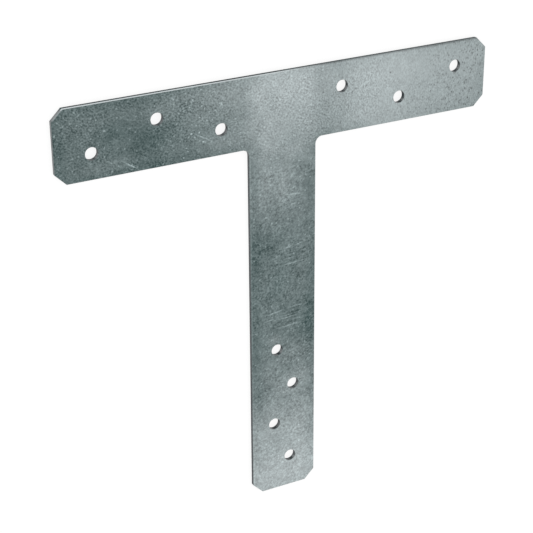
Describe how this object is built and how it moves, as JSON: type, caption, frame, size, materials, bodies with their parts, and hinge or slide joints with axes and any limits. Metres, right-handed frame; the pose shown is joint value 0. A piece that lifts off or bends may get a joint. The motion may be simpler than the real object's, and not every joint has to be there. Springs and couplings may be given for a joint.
{
  "type": "T strap tie",
  "caption": "Flat T-shaped steel plate with staggered bolt holes, for tying a timber beam to the post under it.",
  "frame": {"origin": "on the back face, where the centre lines of the crossbar and the stem cross", "axes": "+X along the crossbar, +Y up the stem towards the crossbar, +Z out of the front face"},
  "size_m": [0.4064, 0.4065, 0.0045],
  "materials": {
    "galvanised_steel": "hot-dip zinc coating, dull, with a fine mottled spangle and a few handling scratches"
  },
  "bodies": {
    "root": {"tie_plate": "galvanised_steel"}
  },
  "joints": []
}
